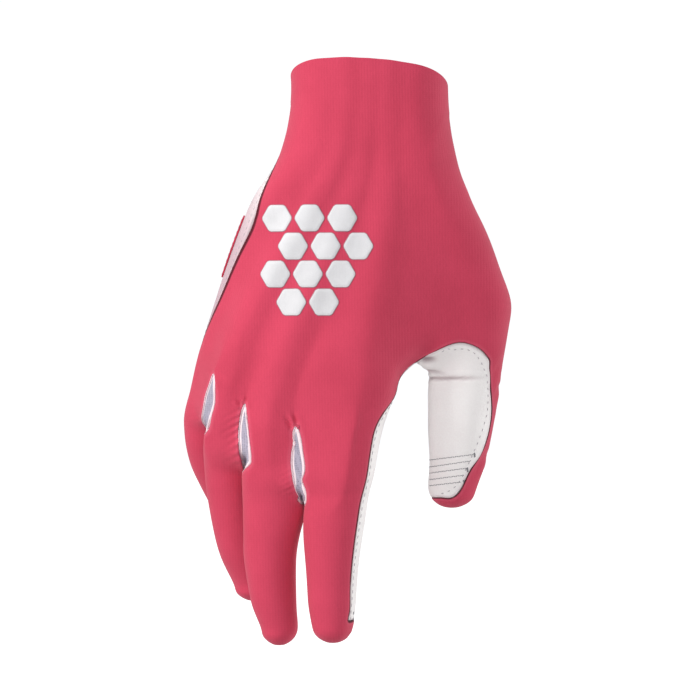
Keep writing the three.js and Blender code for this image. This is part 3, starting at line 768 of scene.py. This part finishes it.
# Each mesh leaf's upper and lower end, in millimetres across and up, and how deep and how close the
# knit's gathers are there.
LEAVES = (
    {"top": (-64.9, -123.9), "low": (-68.0, -146.5), "gather": 0.14, "pitch": 3.0},
    {"top": (-51.7, -136.9), "low": (-52.5, -161.5), "gather": 0.60, "pitch": 3.2},
    {"top": (-30.4, -144.9), "low": (-31.5, -174.0), "gather": 0.30, "pitch": 2.3},
)
# The way that a leaf's outer face looks, by and large.
LEAF_FACING = Vector((0, -0.25, -1))
# Folds at the leaves' tops and along the thumb: foot, head, depth and half width in millimetres.
FOLDS = (
    ((-52.9, -136.9), (-55.6, -132.6), 0.85, 0.75),
    ((-51.4, -136.0), (-51.2, -131.8), 0.75, 0.65),
    ((-32.2, -144.8), (-35.3, -139.6), 0.85, 0.85),
    ((-29.8, -143.6), (-31.6, -138.6), 0.80, 0.75),
    ((-64.8, -123.6), (-66.4, -120.8), 0.35, 0.80),
    ((-33.0, -146.0), (-38.5, -136.0), 0.22, 1.30),
    ((55.4, -128.0), (52.3, -136.0), 0.60, 0.85),
    ((54.6, -119.5), (51.8, -126.5), 0.35, 0.80),
    ((49.8, -157.6), (44.0, -166.5), 0.60, 1.00),
)
# Folds show where the normal's Y is under the first, and gathers where it is under the second.
FOLD_FACING = 0.4
GATHER_FACING = -0.15
# A leaf's gathers, in millimetres: how far out they reach, how fast they fade and how much they lean.
# Then how deep they are on the thumb's side, as a share of their depth on the other, and on average.
GATHER_REACH = 9
GATHER_FADE = 2.8
GATHER_LEAN = 0.55
GATHER_NEAR_SIDE = 0.22
GATHER_MEAN = 0.2
# The knit's own unevenness: depth in millimetres, and how fine it is.
UNEVEN = 0.22
UNEVEN_SCALE = 45
# Where the knit gets finer faces: so many millimetres left of, right of, below and above a leaf.
FINE_ROUND = (9, 6, 3, 8)
FINE_FACING = 0.2
# Two ridges beside a fold: how high and how far off, as shares of its depth and half width.
RIDGE_HIGH = 0.45
RIDGE_OFF = 1.9
# Within this distance of a leaf an edge isn't a seam with a painted shade line.
LEAF_SEAM = 3.2 * MM
# How deep the knit's edge sinks at a seam, and over what width.
EDGE_SINK = 0.16 * MM
EDGE_SINK_WIDTH = 0.9 * MM


def fold_depth(x, z, fold):
    """How deep one fold presses in at a place."""
    (ax, az), (bx, bz), depth, half = fold
    dx, dz = bx - ax, bz - az
    length = math.hypot(dx, dz)
    t = ((x - ax) * dx + (z - az) * dz) / length ** 2
    off = abs((x - ax) * dz - (z - az) * dx) / length
    along = step(-0.3, 0.0, t) * (1 - step(0.35, 1.15, t))
    ridge = math.exp(-(((off - RIDGE_OFF * half) / half) ** 2))
    return depth * along * (math.exp(-((off / half) ** 2)) - RIDGE_HIGH * ridge)


def knit_relief(vertex, gap, leaf_trees):
    """How far the knit stands in from its smooth form, in metres."""
    p = vertex.co
    x, z = p.x / MM, p.z / MM
    drop = 0.0
    if vertex.normal.y < FOLD_FACING:
        for fold in FOLDS:
            drop += fold_depth(x, z, fold) * step(0, 1.2 * MM, gap)
    if vertex.normal.y < GATHER_FACING:
        for leaf, tree in zip(LEAVES, leaf_trees):
            far = tree.find(p)[2] / MM
            if far > GATHER_REACH:
                continue
            (tx, tz), (lx, lz) = leaf["top"], leaf["low"]
            middle = tx + (lx - tx) * (z - tz) / (lz - tz)
            side = 1.0 if x < middle else GATHER_NEAR_SIDE
            inside = step(lz - 1, lz + 3, z) * (1 - step(tz - 2, tz + 1, z))
            wave = math.sin(2 * math.pi * (z + GATHER_LEAN * far) / leaf["pitch"])
            drop += leaf["gather"] * side * inside * math.exp(-far / GATHER_FADE) * (GATHER_MEAN + wave)
    drop += UNEVEN * noise.noise(p * UNEVEN_SCALE)
    return drop * MM


def is_shade_lined_seam(edge):
    """Whether a free edge is a seam that isn't a leaf's, and so gets the painted shade line."""
    beside_leaf = all(any(tree.find(v.co)[2] < LEAF_SEAM for tree in LEAF_TREES) for v in edge.verts)
    return is_seam(edge) and not beside_leaf


def near_leaf(face):
    """Whether a face of the back lies where a leaf's folds and gathers need finer faces."""
    middle = face.calc_center_median()
    x, z = middle.x / MM, middle.z / MM
    left, right, under, over = FINE_ROUND
    for leaf in LEAVES:
        (tx, tz), (lx, lz) = leaf["top"], leaf["low"]
        if min(tx, lx) - left < x < max(tx, lx) + right and lz - under < z < tz + over:
            return face.normal.y < FINE_FACING
    return False


def pull_share(vertex, place, reach):
    """How much a pull moves a point: fully at its place, and less further off."""
    off = math.hypot(vertex.co.x / MM - place[0], vertex.co.z / MM - place[1])
    return math.exp(-((off / reach) ** 2))


def pulled(cloth, pulls, front=ON_FRONT):
    """Draws a sheet along itself, most at each pull's place."""
    cloth.normal_update()
    for vertex in cloth.verts:
        shown = 1 - step(*front, vertex.normal.y)
        for place, (right, up), reach in pulls:
            share = shown * pull_share(vertex, place, reach)
            if share > 0.002:
                way = Vector((right, 0, up)) * MM * share
                vertex.co += way - vertex.normal * way.dot(vertex.normal)
    cloth.normal_update()


def worn_form():
    """A search tree over knit and palm leather together, as they are before anything is pulled."""
    merged = bmesh.new()
    for node, wall in (("back_panel", KNIT_WALL), ("palm_panel", LEATHER_WALL)):
        cloth = rounded(outer_sheet(node, wall), 2, "form")
        merged.from_mesh(mesh_of(cloth, "form"))
        cloth.free()
    tree = BVHTree.FromBMesh(merged)
    merged.free()
    return tree


def drawn_over(cloth, pulls):
    """Draws a sheet far over the worn form, round to the sides."""
    cloth.normal_update()
    for vertex in cloth.verts:
        shown = 1 - step(*ROUND_TO_SIDES, vertex.normal.y)
        for place, (right, up), reach in pulls:
            share = shown * pull_share(vertex, place, reach)
            if share > 0.01:
                vertex.co = FORM.find_nearest(vertex.co + Vector((right, 0, up)) * MM * share)[0]
    cloth.normal_update()


def red_back():
    """The knit of the back, and a search tree over its outer face."""
    cloth = rounded(outer_sheet("back_panel", KNIT_WALL), 2, "knit_back")
    near = [f for f in cloth.faces if near_leaf(f)]
    bmesh.ops.subdivide_edges(
        cloth,
        edges=list(dict.fromkeys(e for f in near for e in f.edges)),
        cuts=1,
        use_grid_fill=True,
        smooth=1.0,
        smooth_falloff="LINEAR",
    )
    pulled(cloth, PULLS + THUMB_PULLS)
    pulled(cloth, OUTER_PULLS, ROUND_TO_SIDES)
    drawn_over(cloth, INDEX_PULLS)
    mark_gap(cloth, edge_tree(cloth, is_seam))
    # The distance to the seams that get the painted shade line.
    mark_gap(cloth, edge_tree(cloth, is_shade_lined_seam), "seam_gap")
    gap = cloth.verts.layers.float["edge_gap"]
    for vertex in cloth.verts:
        sink = EDGE_SINK * (1 - step(0, EDGE_SINK_WIDTH, vertex[gap]))
        drop = knit_relief(vertex, vertex[gap], LEAF_TREES) + sink
        vertex.co += vertex.normal * (hem_rise(vertex.co) - drop)
    outside = BVHTree.FromBMesh(cloth)
    made = sewn(cloth, "knit_back", KNIT_WALL, KNIT)
    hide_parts("back_panel")
    return made, outside


# The other panels

# How far each panel's flap runs on under the knit, and how far down it goes.
WRIST_FLAP = (1.6 * MM, 0.55 * MM)
PALM_FLAP = (1.3 * MM, 0.35 * MM)
THUMB_FLAP = (1.4 * MM, 0.45 * MM)
LEAF_FLAP = (2.2 * MM, 0.30 * MM)
# How far from the knit's edge an edge is still sewn to it.
SEWN_GAP = 1.4 * MM


def red_wrist():
    """The knit of the sleeve on the palm side."""
    cloth = rounded(outer_sheet("wrist_panel", KNIT_WALL), 2, "knit_wrist")
    cloth.normal_update()
    seams = edge_tree(cloth, is_seam)
    mark_gap(cloth, seams)
    mark_gap(cloth, seams, "seam_gap")
    for vertex in cloth.verts:
        vertex.co += vertex.normal * hem_rise(vertex.co)
    seam_flap(cloth, is_seam, *WRIST_FLAP)
    made = sewn(cloth, "knit_wrist", KNIT_WALL, KNIT)
    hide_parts("wrist_panel")


def beside_knit(edge):
    """Whether an edge is sewn to the knit of the back."""
    return all(KNIT_EDGES.find(v.co)[2] < SEWN_GAP for v in edge.verts)


def uneven(cloth, depth_mm, scale):
    """Makes a sheet's face a little uneven, as cloth and leather are."""
    for vertex in cloth.verts:
        vertex.co -= vertex.normal * (depth_mm * noise.noise(vertex.co * scale) * MM)


def leather_palm():
    """The leather of the palm, the finger pads and the hand's outer edge."""
    cloth = rounded(outer_sheet("palm_panel", LEATHER_WALL), 2, "leather_palm")
    pulled(cloth, OUTER_PULLS, ROUND_TO_SIDES)
    drawn_over(cloth, INDEX_PULLS)
    mark_gap(cloth, edge_tree(cloth))
    uneven(cloth, 0.20, 60)
    seam_flap(cloth, beside_knit, *PALM_FLAP, KNIT_OUTSIDE)
    made = sewn(cloth, "leather_palm", LEATHER_WALL, LEATHER)
    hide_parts("palm_panel")
    return made


# Creases of the thumb's leather: one end, other end, depth and half width in millimetres.
THUMB_CREASES = (
    ((26.0, -124.6), (50.0, -124.4), 0.75, 0.9),
    ((23.5, -117.0), (29.0, -116.4), 1.00, 1.5),
    ((25.0, -121.4), (33.0, -122.6), 0.60, 1.0),
)


def leather_thumb():
    """The leather of the thumb, with its creases and, for each point, the crease depth that sets the
    painted shade in them.
    """
    cloth = rounded(outer_sheet("thumb_panel", LEATHER_WALL), 3, "leather_thumb")
    pulled(cloth, THUMB_PULLS)
    mark_gap(cloth, edge_tree(cloth))
    crease_shade_depth = cloth.verts.layers.float.new("crease")
    for vertex in cloth.verts:
        x, z = vertex.co.x / MM, vertex.co.z / MM
        drop = 0.12 * noise.noise(vertex.co * 70)
        if vertex.normal.y < 0:
            folds = [fold_depth(x, z, crease) for crease in THUMB_CREASES]
            drop += sum(folds)
            # How deep the crease is here; the finish darkens the leather by it as painted shade.
            vertex[crease_shade_depth] = max(0.0, max(folds))
        vertex.co -= vertex.normal * drop * MM
    seam_flap(cloth, any_edge, *THUMB_FLAP, KNIT_OUTSIDE)
    made = sewn(cloth, "leather_thumb", LEATHER_WALL, LEATHER)
    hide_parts("thumb_panel")
    return made


def mesh_leaf(node, name):
    """The mesh between two fingers."""
    cloth = rounded(outer_sheet(node, MESH_WALL, LEAF_FACING), 3, name)
    cloth.normal_update()
    mark_gap(cloth, edge_tree(cloth))
    uneven(cloth, 0.10, 300)
    seam_flap(cloth, any_edge, *LEAF_FLAP, KNIT_OUTSIDE)
    made = sewn(cloth, name, MESH_WALL, NET, LEAF_SHARE)
    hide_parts(node)


# A leaf's edge keeps this share of its wall. Its thread lies this far out from the edge, and up.
LEAF_SHARE = 0.5
THREAD_OUT = 0.40 * MM
THREAD_UP = 0.22 * MM


def leaf_thread(node, name, low):
    """The overlocked thread that closes the seam between a leaf and the knit."""
    cloth = rounded(outer_sheet(node, MESH_WALL, LEAF_FACING), 2, name)
    pulled(cloth, PULLS)
    ways = free_corners(cloth)
    run = max(runs_of(cloth), key=len)
    places = [v.co + ways[v] * THREAD_OUT + v.normal * THREAD_UP for v in run]
    cloth.free()
    thread_round(places, name, low, SEAM_THREAD)


# The patch: its edge's share of the wall and the width of its rounding, how deep its edge lies under the
# panel's face, and how high it swells inside, both in millimetres.
PATCH_SHARE = 0.6
PATCH_ROUND = 1.0 * MM
PATCH_DEPTH = 0.75
PATCH_SWELL = 0.35


def heel_patch():
    """The patch on the palm's heel, which swells a little towards its middle."""
    cloth = rounded(outer_sheet("heel_patch", PATCH_WALL), 3, "rubber_heel")
    cloth.normal_update()
    mark_gap(cloth, edge_tree(cloth))
    gap = cloth.verts.layers.float["edge_gap"]
    for vertex in cloth.verts:
        drop = PATCH_DEPTH - PATCH_SWELL * step(0, PATCH_ROUND, vertex[gap])
        vertex.co -= vertex.normal * drop * MM
    made = sewn(cloth, "rubber_heel", PATCH_WALL, RUBBER, PATCH_SHARE, PATCH_ROUND)
    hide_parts("heel_patch")
    return made


# All the panels

GUSSETS = ("gusset_little_ring", "gusset_ring_middle", "gusset_middle_index")
LEAF_TREES = []
for node in GUSSETS:
    sheet = outer_sheet(node, MESH_WALL, LEAF_FACING)
    LEAF_TREES.append(edge_tree(sheet))
    sheet.free()

raw_knit = outer_sheet("back_panel", KNIT_WALL)
KNIT_EDGES = edge_tree(raw_knit, is_seam)
raw_knit.free()

FORM = worn_form()
back, KNIT_OUTSIDE = red_back()
red_wrist()
palm = leather_palm()
thumb = leather_thumb()
for node in GUSSETS:
    mesh_leaf(node, node.replace("gusset", "mesh"))
patch = heel_patch()
KNIT_SKIN = skin_of(back)
PALM_SKIN = skin_of(palm)
THUMB_SKIN = skin_of(thumb)
PATCH_SKIN = skin_of(patch)
for node, leaf in zip(GUSSETS, LEAVES):
    leaf_thread(node, node.replace("gusset", "seam"), leaf["low"][1] * MM)


# The print on the back of the hand

# Rows of cells: the middle of the first, in millimetres across and up, and how many there are.
PRINT_ROWS = (((-38.2, -57.6), 3), ((-31.5, -69.3), 3), ((-38.9, -80.9), 3), ((-32.2, -92.6), 2))
CELL_PITCH = 13.6
# From a cell's middle to its sides, and how much further to its rounded corners.
CELL_APOTHEM = 5.75
CELL_CORNER = 1.10
# The print's height at its edge and inside, its rounded edge's width, and how deep it goes into the knit.
PRINT_LOW = 0.10
PRINT_HIGH = 0.42
PRINT_EDGE = 0.55 * MM
PRINT_WALL = 0.6 * MM


def flat_cell(cells, middle):
    """One cell's outline as a flat face, a hexagon with rounded corners."""
    upright = Matrix.Translation(middle) @ Matrix.Rotation(math.pi / 2, 4, "X")
    made = bmesh.ops.create_circle(cells, cap_ends=True, segments=48, radius=1 * MM, matrix=upright)
    for vertex in made["verts"]:
        out = vertex.co - middle
        turned = (math.atan2(out.x, out.z) + math.pi / 6) % (math.pi / 3) - math.pi / 6
        far = min(CELL_APOTHEM / math.cos(turned), CELL_APOTHEM * CELL_CORNER)
        vertex.co = middle + out.normalized() * far * MM


def whole_faces(cells):
    """The cells' middles, which are faces with more than four corners."""
    return [f for f in cells.faces if len(f.verts) > 4]


def print_cells():
    """A plain honeycomb of flat raised cells, laid on the knit."""
    cells = bmesh.new()
    for (x, z), count in PRINT_ROWS:
        for i in range(count):
            flat_cell(cells, Vector((x + i * CELL_PITCH, 0, z)) * MM)
    for inset in (0.25, 0.35):
        bmesh.ops.inset_individual(cells, faces=whole_faces(cells), thickness=inset * MM)
    bmesh.ops.poke(cells, faces=whole_faces(cells))
    spokes = [e for e in cells.edges if e.calc_length() > 3 * MM]
    bmesh.ops.subdivide_edges(cells, edges=spokes, cuts=4, use_grid_fill=True)
    mark_gap(cells, edge_tree(cells))
    gap = cells.verts.layers.float["edge_gap"]
    for vertex in cells.verts:
        before_hand = Vector((vertex.co.x, -0.2, vertex.co.z))
        place, facing, _, _ = KNIT_SKIN.ray_cast(before_hand, Vector((0, 1, 0)))
        high = PRINT_LOW + (PRINT_HIGH - PRINT_LOW) * step(0, PRINT_EDGE, vertex[gap])
        vertex.co = place + facing * high * MM
    cells.normal_update()
    if sum(f.normal.y for f in cells.faces) > 0:
        bmesh.ops.reverse_faces(cells, faces=cells.faces)
    made = sewn(cells, "honeycomb_print", PRINT_WALL, PRINT, 1.0)


print_cells()


# The stitching

# Places in the picture, in pixels, where the photo shows the stitches along the thumb's edge.
THUMB_EDGE = (
    (440, 353), (447, 348.5), (453, 350), (460, 349), (466, 349), (473, 352), (477, 356),
    (481, 362), (484, 369), (487, 376), (488, 390), (488, 398), (488, 406), (487, 414),
    (485, 421), (483, 428), (480.5, 435), (478, 442), (475, 449), (471.5, 457), (468, 465),
    (464, 473), (460.5, 480), (456, 486), (451, 490), (446, 492.5), (439, 494),
)
# The same for each row across the thumb: its left end and its right end.
THUMB_ROWS = (
    ((429.5, 460.0), (475.0, 454.3)),
    ((429.5, 467.0), (471.5, 460.8)),
    ((429.5, 473.2), (467.5, 468.0)),
    ((429.5, 479.7), (463.2, 475.2)),
    ((429.5, 485.7), (461.5, 482.0)),
)
ROW_STEPS = 14
# The same for the bartacks that end the thumb's rows, and the two at the index fingertip.
THUMB_TACKS = ((474.3, 455.0), (467.2, 469.8), (463.6, 482.2))
INDEX_TACKS = ((353.6, 613.0), (353.2, 619.6))
TACK_LONG = 0.9 * MM
# Each kind of row: its pitch, and a stitch's length and width.
THUMB_EDGE_ROW = (3.05 * MM, 1.35 * MM, 0.42 * MM)
THUMB_CROSS_ROW = (0.95 * MM, 1.05 * MM, 0.38 * MM)
CROSS_SLANT = 0.28
PALM_ROW = (3.0 * MM, 1.7 * MM, 0.42 * MM)
HEEL_ROW = (2.6 * MM, 1.7 * MM, 0.42 * MM)
# How far inside the seams these last two run.
PALM_INSET = 1.6 * MM
HEEL_INSET = 1.3 * MM
# A row breaks off nearer to an edge than this share of its inset, and where the cosine of its turn from
# the edge is under the second number. It needs more points than the third.
INSET_LEFT = 0.8
STEADY = 0.6
LEAST_POINTS = 4


def bartack(tacks, middle, count, pitch, lean, rise, width):
    """Short threads one under the other, at a place in the picture."""
    px, py = middle
    for i in range(count):
        down = pitch * (i - (count - 1) / 2)
        for place in seen_on(tacks.skin, [(px + lean * i, py + down)]):
            tacks.one(place, Vector((1, 0, rise)), TACK_LONG, width * MM)


def thumb_stitches():
    """The stitches that the photo shows on the thumb's leather."""
    edge = Stitches(THUMB_SKIN)
    edge.row(seen_on(THUMB_SKIN, THUMB_EDGE), *THUMB_EDGE_ROW)
    edge.done("stitches_thumb_edge", PALE_THREAD)
    rows = Stitches(THUMB_SKIN)
    for (ax, ay), (bx, by) in THUMB_ROWS:
        shares = [i / ROW_STEPS for i in range(ROW_STEPS + 1)]
        line = [(ax + (bx - ax) * t, ay + (by - ay) * t) for t in shares]
        rows.row(seen_on(THUMB_SKIN, line), *THUMB_CROSS_ROW, CROSS_SLANT)
    rows.done("stitches_thumb_rows", GREY_THREAD)
    tacks = Stitches(THUMB_SKIN)
    for middle in THUMB_TACKS:
        bartack(tacks, middle, count=5, pitch=0.9, lean=0.12, rise=0.2, width=0.42)
    tacks.done("bartacks_thumb", DARK_THREAD)


def clear_lines(run, ways, edges, inset):
    """The lines just inside a run of free vertices, broken where the sheet is too narrow for them."""
    lines = [[]]
    for before, vertex in zip(run, run[1:] + run[:1]):
        place = vertex.co - ways[vertex] * inset
        clear = edges.find(place)[2] > INSET_LEFT * inset
        if clear and lines[-1]:
            on, along = place - lines[-1][-1], vertex.co - before.co
            clear = on.dot(along) > STEADY * on.length * along.length
        if clear:
            lines[-1].append(place)
        else:
            lines.append([])
    return [line for line in lines if len(line) > LEAST_POINTS]


def seam_stitches(node, wall, skin, name, inset, measures):
    """Rows of stitches just inside a panel's seams."""
    cloth = rounded(outer_sheet(node, wall), 2, name)
    cloth.normal_update()
    ways = free_corners(cloth)
    edges = edge_tree(cloth)
    rows = Stitches(skin)
    for run in runs_of(cloth):
        for line in clear_lines(run, ways, edges, inset):
            rows.row(line, *measures)
    cloth.free()
    rows.done(name, PALE_THREAD)


def index_bartacks():
    """The two tacks that end the leather strip at the index fingertip."""
    tacks = Stitches(PALM_SKIN)
    for middle in INDEX_TACKS:
        bartack(tacks, middle, count=4, pitch=0.6, lean=0.0, rise=0.15, width=0.40)
    tacks.done("bartacks_index", DARK_THREAD)


thumb_stitches()
index_bartacks()
seam_stitches("palm_panel", LEATHER_WALL, PALM_SKIN, "stitches_palm", PALM_INSET, PALM_ROW)
seam_stitches("heel_patch", PATCH_WALL, PATCH_SKIN, "stitches_heel", HEEL_INSET, HEEL_ROW)


# Light, floor and camera

SENSOR = 36
# How strong the sky is as a light, and how bright where the camera sees it.
SKY_LIGHT = 0.45
SKY_SHOWN = 1.05
# The floor's half size, and how far back and how low it lies, in metres.
FLOOR_SIZE = 4.0
FLOOR_BACK = 1.5
FLOOR_LOW = -0.30
# Where the lamps look, and each lamp's name, place, size, power and tint.
LAMP_AIM = (-0.01, 0, -0.11)
LAMPS = (
    ("key", (-1.60, -0.98, 0.84), 0.8, 28.5, (1.0, 0.99, 0.97)),
    ("fill", (-0.4, -1.9, 0.2), 1.2, 12, (0.97, 0.98, 1.0)),
    ("edge", (1.8, 0.60, -0.14), 0.5, 19, (1.0, 1.0, 1.0)),
    ("top", (-0.2, -0.1, 1.6), 1.2, 6, (1, 1, 1)),
)


def set_camera(scene):
    """A camera far off, straight before the hand's back, as in the photo."""
    data = bpy.data.cameras.new("camera")
    data.lens = SENSOR * CAMERA_OFF / PICTURE_WIDE
    data.sensor_width = SENSOR
    data.clip_end = 20
    camera = bpy.data.objects.new("camera", data)
    camera.location = CAMERA
    camera.rotation_euler = (math.pi / 2, 0, 0)
    scene.collection.objects.link(camera)
    scene.camera = camera


def set_sky(scene):
    """A pale sky, which the camera sees brighter than it lights."""
    world = bpy.data.worlds.new("studio")
    world.use_nodes = True
    sky = world.node_tree
    back = sky.nodes["Background"]
    back.inputs["Color"].default_value = (0.97, 0.98, 1, 1)
    sight = sky.nodes.new("ShaderNodeLightPath")
    power = sky.nodes.new("ShaderNodeMapRange")
    power.inputs["To Min"].default_value = SKY_LIGHT
    power.inputs["To Max"].default_value = SKY_SHOWN
    sky.links.new(sight.outputs["Is Camera Ray"], power.inputs["Value"])
    sky.links.new(power.outputs[0], back.inputs["Strength"])
    scene.world = world
    scene.view_settings.view_transform = "Standard"


def set_floor(scene):
    """A plain pale floor, which the camera sees as bright as the sky."""
    floor = bmesh.new()
    bmesh.ops.create_grid(floor, x_segments=1, y_segments=1, size=FLOOR_SIZE)
    bmesh.ops.translate(floor, verts=floor.verts, vec=(0, FLOOR_BACK, FLOOR_LOW))
    mesh = mesh_of(floor, "floor")
    floor.free()
    ground = bpy.data.objects.new("floor", mesh)
    pale = Finish("pale_floor")
    cloud = pale.noise(3.0)
    tone = pale.blend(cloud, colour(190, 190, 190), colour(198, 198, 198))
    sight = pale.node("LightPath", None, None, "Is Camera Ray")
    glow = pale.blend(sight, (0.06, 0.06, 0.06, 1), (1, 1, 1, 1))
    bumps = pale.bumps(cloud, 0.01, 0.1)
    mesh.materials.append(pale.shade(tone, 0.9, bumps, Emission_Color=glow, Emission_Strength=0.9))
    scene.collection.objects.link(ground)


def set_lamps(scene):
    """The soft square lamps round the glove."""
    for name, place, size, power, tint in LAMPS:
        lamp = bpy.data.lights.new(name, "AREA")
        lamp.shape = "SQUARE"
        lamp.size = size
        lamp.energy = power
        lamp.color = tint
        holder = bpy.data.objects.new(name, lamp)
        holder.location = place
        aim = Vector(LAMP_AIM) - Vector(place)
        holder.rotation_euler = aim.to_track_quat("-Z", "Y").to_euler()
        scene.collection.objects.link(holder)


set_camera(bpy.context.scene)
set_sky(bpy.context.scene)
set_floor(bpy.context.scene)
set_lamps(bpy.context.scene)
